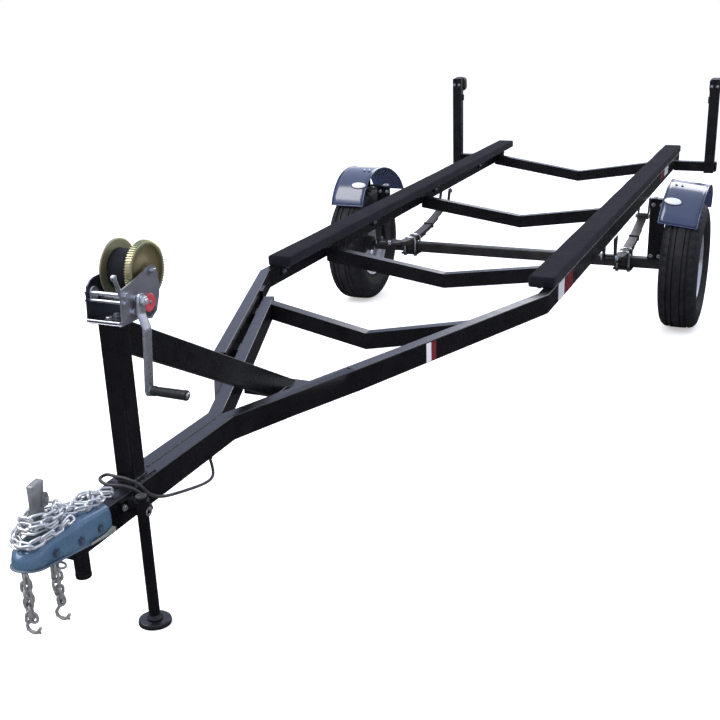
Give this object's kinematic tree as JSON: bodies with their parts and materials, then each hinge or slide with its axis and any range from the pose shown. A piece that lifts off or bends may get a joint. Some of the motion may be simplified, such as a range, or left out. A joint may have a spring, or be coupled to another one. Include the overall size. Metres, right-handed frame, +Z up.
{
  "type": "boat trailer",
  "caption": "Single-axle boat trailer: steel frame with a V tongue, two carpeted bunks, leaf springs, small fenders, guide posts, winch post and drop-leg stand.",
  "frame": {"origin": "on the floor, midway between the ends and the sides of the trailer as it is parked", "axes": "+X the trailer's left side, +Y its rear, -Y the coupler, +Z up"},
  "size_m": [1.875, 5.363, 1.1461],
  "materials": {
    "bunk_carpet": "looped marine carpet",
    "cable": "satin",
    "clear_lens": "pale moulded lens",
    "coupler_blue": "satin zinc",
    "fender_gloss": "gloss",
    "frame_black": "semi-gloss enamel",
    "gold_zinc": "yellow zinc",
    "grip": "satin",
    "hub_black": "satin",
    "lamp": "moulded",
    "plug_rubber": "matt",
    "red_plastic": "moulded",
    "rim_silver": "satin",
    "tyre": "dusty rubber",
    "webbing": "woven strap",
    "zinc": "bright zinc"
  },
  "bodies": {
    "trailer": {"arm_end_plates": "frame_black", "arm_packers": "frame_black", "arm_tie": "frame_black", "axle": "frame_black", "bunk_left": "bunk_carpet", "bunk_right": "bunk_carpet", "chain_pile": "zinc", "coupler": "coupler_blue", "coupler_latch": "zinc", "crossmember_front": "frame_black", "crossmember_rear": "frame_black", "crossmember_second": "frame_black", "crossmember_third": "frame_black", "fender_lamp_left": "clear_lens", "fender_lamp_right": "clear_lens", "fender_left": "fender_gloss", "fender_right": "fender_gloss", "fender_stays": "frame_black", "guide_outriggers": "frame_black", "guide_post_left": "frame_black", "guide_post_right": "frame_black", "jack_socket": "frame_black", "leaf_spring_left": "frame_black", "leaf_spring_right": "frame_black", "rail_left": "frame_black", "rail_right": "frame_black", "ratchet_cover": "red_plastic", "safety_chains": "zinc", "spring_hangers": "frame_black", "spring_pads": "frame_black", "spring_shackles": "frame_black", "stand_clamp": "frame_black", "tail_lamp_left": "lamp", "tail_lamp_right": "lamp", "tongue_arm_left": "frame_black", "tongue_arm_right": "frame_black", "winch_brace": "frame_black", "winch_frame": "zinc", "winch_pawl": "zinc", "winch_post": "frame_black", "winch_rods": "zinc", "wiring_cord": "cable", "wiring_gland": "cable", "wiring_plug": "plug_rubber"},
    "wheel_left": {"hub_left": "hub_black", "rim_left": "rim_silver", "tyre_left": "tyre"},
    "wheel_right": {"hub_right": "hub_black", "rim_right": "rim_silver", "tyre_right": "tyre"},
    "winch_spool": {"winch_drum": "gold_zinc", "winch_strap": "webbing"},
    "winch_handle": {"crank_grip": "grip", "winch_crank": "zinc"},
    "drop_leg": {"stand_foot": "frame_black", "stand_leg": "frame_black"}
  },
  "joints": [
    {"name": "wheel_left_spin", "type": "hinge", "parent": "trailer", "child": "wheel_left", "pos_m": [0.8495, 1.03848, 0.303], "axis": [1, 0, 0], "continuous": true},
    {"name": "wheel_right_spin", "type": "hinge", "parent": "trailer", "child": "wheel_right", "pos_m": [-0.8495, 1.03848, 0.303], "axis": [1, 0, 0], "continuous": true},
    {"name": "winch_drum_spin", "type": "hinge", "parent": "trailer", "child": "winch_spool", "pos_m": [0, -2.21923, 0.83407], "axis": [1, 0, 0], "continuous": true},
    {"name": "winch_crank_turn", "type": "hinge", "parent": "trailer", "child": "winch_handle", "pos_m": [0, -2.28182, 0.77986], "axis": [1, 0, 0], "continuous": true},
    {"name": "stand_slide", "type": "slide", "parent": "trailer", "child": "drop_leg", "axis": [0, -0.0654, 0.9979], "range_m": [0, 0.2]}
  ],
  "couplings": [
    {"joint": "winch_crank_turn", "follows": "winch_drum_spin", "ratio": -4.7857}
  ]
}
